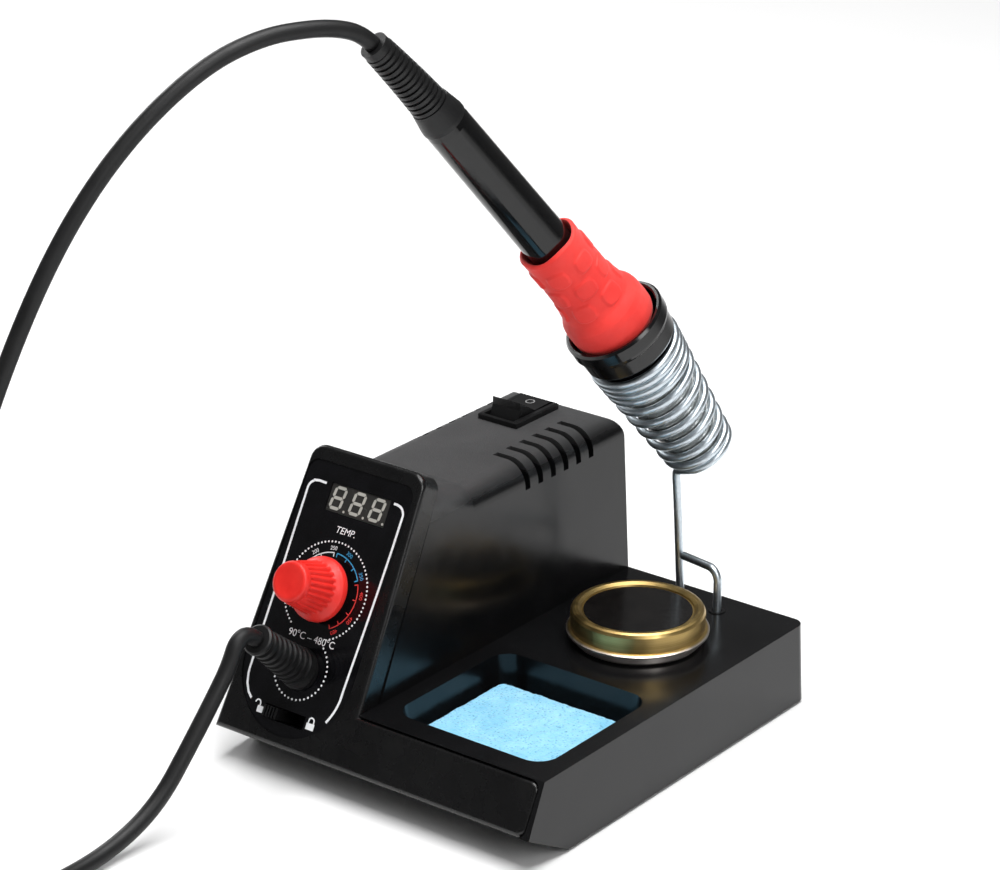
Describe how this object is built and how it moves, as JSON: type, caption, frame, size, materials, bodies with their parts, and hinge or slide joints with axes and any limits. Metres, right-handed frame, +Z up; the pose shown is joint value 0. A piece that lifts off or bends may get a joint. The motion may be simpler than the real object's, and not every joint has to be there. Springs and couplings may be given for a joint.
{
  "type": "soldering iron station",
  "caption": "Temperature-controlled soldering station: slanted panel tower, deck with sponge tray and flux tin, wire coil holder and corded iron.",
  "frame": {"origin": "on the table, under the middle of the station without its cord", "axes": "+Z up, +Y from the slanted control panel to the rear wall, +X to the right seen from the front"},
  "size_m": [0.155, 0.339, 0.2295],
  "materials": {
    "black_abs": "moulded black ABS, fine grain",
    "panel_gloss": "glossy black overlay with white print",
    "black_rubber": "soft black PVC",
    "zinc_steel": "zinc plated",
    "circuit_board": "green solder mask",
    "display_grey": "smoked display face with pale segments",
    "switch_black": "satin black nylon",
    "pot_metal": "plated",
    "red_plastic": "satin bright red",
    "core_steel": "varnished laminations",
    "winding_copper": "enamelled copper under yellow tape",
    "capacitor_sleeve": "dark sleeve",
    "aluminium": "extruded",
    "fuse_glass": "clear",
    "plated_wire": "bright nickel",
    "black_phenolic": "glossy heat-proof resin",
    "tip_plate": "iron plated, tinned end",
    "barrel_steel": "stainless, heat tinted",
    "ceramic_white": "alumina",
    "red_rubber": "matte silicone",
    "gloss_black": "polished",
    "sponge_blue": "open-cell cellulose",
    "gold_tin": "gold lacquered tinplate, brushed",
    "tin_print": "black printed disc",
    "flux_amber": "waxy"
  },
  "bodies": {
    "root": {"upper_shell": "black_abs", "front_cover": "black_abs", "panel_label": "panel_gloss", "bottom_cover": "black_abs", "rubber_feet": "black_rubber", "case_screws": "zinc_steel", "control_board": "circuit_board", "board_posts": "zinc_steel", "board_screws": "zinc_steel", "display_module": "display_grey", "potentiometer": "pot_metal", "pot_nut": "zinc_steel", "lock_switch": "switch_black", "panel_cable_boot": "black_rubber", "power_switch_housing": "switch_black", "mains_gland": "black_rubber", "transformer_core": "core_steel", "transformer_winding": "winding_copper", "transformer_screws": "zinc_steel", "power_board": "circuit_board", "board_standoffs": "switch_black", "filter_capacitor": "capacitor_sleeve", "triac": "switch_black", "heat_sink": "aluminium", "fuse": "fuse_glass", "holder_coil": "plated_wire", "holder_leg": "plated_wire", "holder_brace": "plated_wire", "holder_sockets": "black_phenolic", "holder_sleeve": "plated_wire", "holder_collar": "black_phenolic", "cord_panel_run": "black_rubber", "cord_coil": "black_rubber", "cord_drop_run": "black_rubber"},
    "knob": {"pot_shaft": "pot_metal", "temperature_knob": "red_plastic"},
    "rocker": {"power_rocker": "switch_black"},
    "slider": {"lock_slider": "switch_black"},
    "sponge_pad": {"sponge": "sponge_blue"},
    "tin": {"tin_base": "gold_tin", "flux_paste": "flux_amber"},
    "lid": {"tin_lid": "gold_tin", "tin_label": "tin_print"},
    "iron": {"iron_tip": "tip_plate", "tip_barrel": "barrel_steel", "heater_core": "ceramic_white", "barrel_nut": "barrel_steel", "grip_sleeve": "red_rubber", "handle_shell": "gloss_black", "iron_cord_boot": "black_rubber", "cord_iron_run": "black_rubber"}
  },
  "joints": [
    {"name": "knob_turn", "type": "hinge", "parent": "root", "child": "knob", "pos_m": [-0.0346, -0.05736, 0.05591], "axis": [0, -0.8746, 0.4848], "range_deg": [-140, 140]},
    {"name": "power_rock", "type": "hinge", "parent": "root", "child": "rocker", "pos_m": [-0.03835, 0.04605, 0.0753], "axis": [1, 0, 0], "range_deg": [0, 30]},
    {"name": "lock_slide", "type": "slide", "parent": "root", "child": "slider", "axis": [1, 0, 0], "range_m": [0, 0.0091]},
    {"name": "sponge_lift", "type": "slide", "parent": "root", "child": "sponge_pad", "axis": [0, 0, 1], "range_m": [0, 0.03]},
    {"name": "tin_lift", "type": "slide", "parent": "root", "child": "tin", "axis": [0, 0, 1], "range_m": [0, 0.018]},
    {"name": "lid_lift", "type": "slide", "parent": "tin", "child": "lid", "axis": [0, 0, 1], "range_m": [0, 0.014]},
    {"name": "iron_pull", "type": "slide", "parent": "root", "child": "iron", "axis": [-0.2342, -0.5856, 0.776], "range_m": [0, 0.12]}
  ]
}
